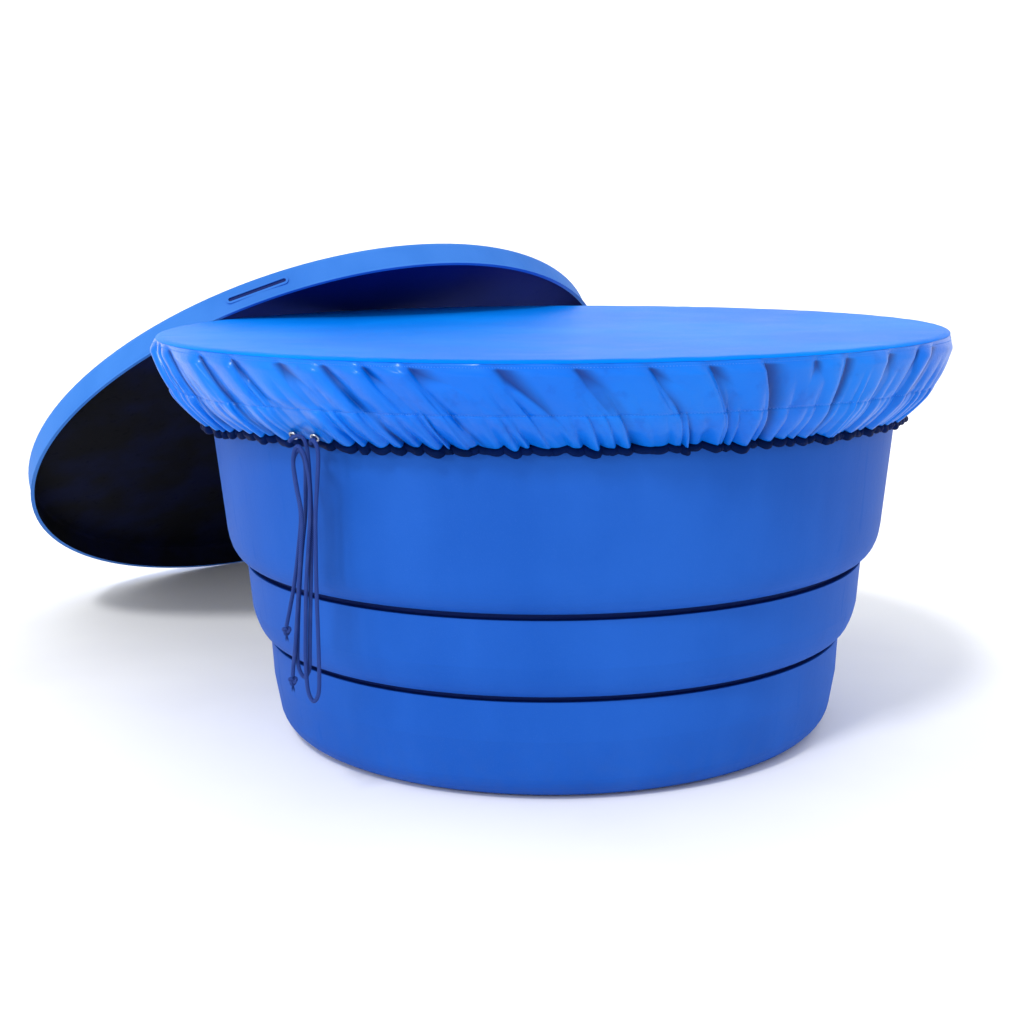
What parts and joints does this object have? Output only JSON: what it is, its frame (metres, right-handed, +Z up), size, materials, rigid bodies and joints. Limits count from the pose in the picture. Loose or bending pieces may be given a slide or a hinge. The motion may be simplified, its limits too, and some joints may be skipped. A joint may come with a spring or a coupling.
{
  "type": "livestock water trough",
  "caption": "Round stepped stock water tank with float valve, overflow and drain, under a drawcord fabric cover, with its loose moulded lid leaning on the rim.",
  "frame": {"origin": "centre of the tank's base, on the ground", "axes": "+Z up; -Y is the front, where the picture's camera stands; +X to its right; the lid leans at the back left"},
  "size_m": [2.0878, 2.4113, 0.9494],
  "materials": {
    "tank_plastic": "satin",
    "lid_plastic": "satin",
    "cover_fabric": "coated woven",
    "cord": "braided",
    "rubber": "matt",
    "brass": "satin",
    "steel": "satin",
    "grey_plastic": "satin",
    "float_plastic": "satin"
  },
  "bodies": {
    "tank": {"tank_shell": "tank_plastic", "inlet_valve_body": "brass", "inlet_inner_gasket": "rubber", "inlet_outer_gasket": "rubber", "inlet_locknut": "brass", "lever_pin": "steel", "overflow_adaptor": "grey_plastic", "overflow_inner_gasket": "rubber", "overflow_outer_gasket": "rubber", "overflow_locknut": "grey_plastic", "drain_adaptor": "grey_plastic", "drain_inner_gasket": "rubber", "drain_outer_gasket": "rubber", "drain_locknut": "grey_plastic"},
    "float_lever": {"float_arm": "brass", "float_ball": "float_plastic", "float_locknut": "brass"},
    "plunger": {"valve_plunger": "grey_plastic", "plunger_seal": "rubber"},
    "plug": {"drain_plug": "rubber", "drain_plug_seal": "rubber"},
    "cover": {"cover_top_panel": "cover_fabric", "cover_rim_piping": "cover_fabric", "cover_skirt": "cover_fabric", "cover_hem_tunnel": "cover_fabric", "hem_drawcord": "cord", "left_eyelet": "steel", "left_eyelet_washer": "steel", "right_eyelet": "steel", "right_eyelet_washer": "steel", "left_cord_tail": "cord", "right_cord_tail": "cord", "cord_end_knots": "cord"},
    "lid": {"lid_shell": "lid_plastic"}
  },
  "joints": [
    {"name": "lid_lift", "type": "slide", "parent": "tank", "child": "lid", "axis": [-0.3505, 0.4824, 0.8028], "range_m": [0, 0.5]},
    {"name": "cover_pull_off", "type": "slide", "parent": "tank", "child": "cover", "axis": [0.5571, -0.7668, 0.319], "range_m": [0, 1.3], "deforming": ["cover_skirt", "cover_hem_tunnel", "hem_drawcord"]},
    {"name": "float_swing", "type": "hinge", "parent": "tank", "child": "float_lever", "pos_m": [0.29, 0.5023, 0.527], "axis": [-0.866, 0.5, 0], "range_deg": [0, 35]},
    {"name": "plunger_slide", "type": "slide", "parent": "tank", "child": "plunger", "axis": [0.5, 0.866, 0], "range_m": [0, 0.0073]},
    {"name": "drain_plug_pull", "type": "slide", "parent": "tank", "child": "plug", "axis": [0.7071, 0.7071, 0], "range_m": [0, 0.08]}
  ],
  "couplings": [
    {"joint": "plunger_slide", "follows": "float_swing", "m_per_rad": 0.011814}
  ]
}
